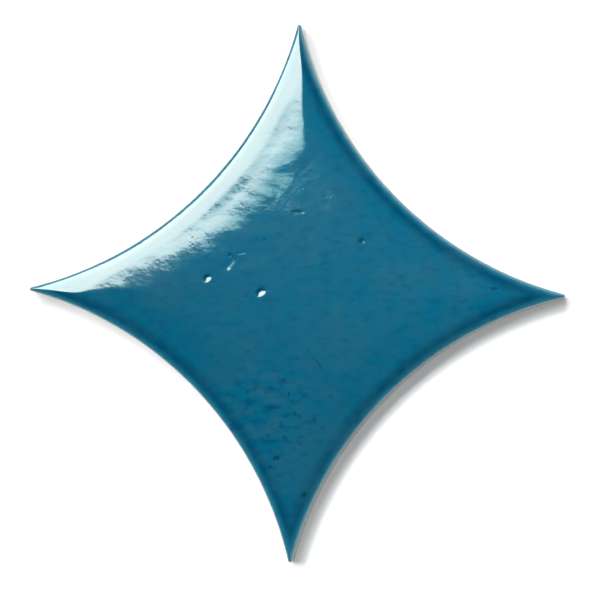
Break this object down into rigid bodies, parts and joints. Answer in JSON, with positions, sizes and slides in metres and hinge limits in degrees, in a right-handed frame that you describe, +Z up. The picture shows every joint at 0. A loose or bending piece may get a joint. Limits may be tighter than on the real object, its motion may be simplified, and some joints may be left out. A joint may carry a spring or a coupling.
{
  "type": "four-pointed porcelain tile",
  "caption": "Kite-shaped glazed porcelain tile: a four-pointed plate with concave arc sides, a cushioned glossy face and a ribbed bare back.",
  "frame": {"origin": "centre of the tile in the plane of its back, which is the plane it lies on", "axes": "+Z up through the middle of the glazed face; the four points lie on the X and Y axes; the ribs of the back run along X"},
  "size_m": [0.15, 0.15, 0.009],
  "materials": {
    "glazed_porcelain": "glossy translucent teal blue glaze over the face and rim, bare buff porcelain at the foot and back"
  },
  "bodies": {
    "root": {"tile": "glazed_porcelain"}
  },
  "joints": []
}
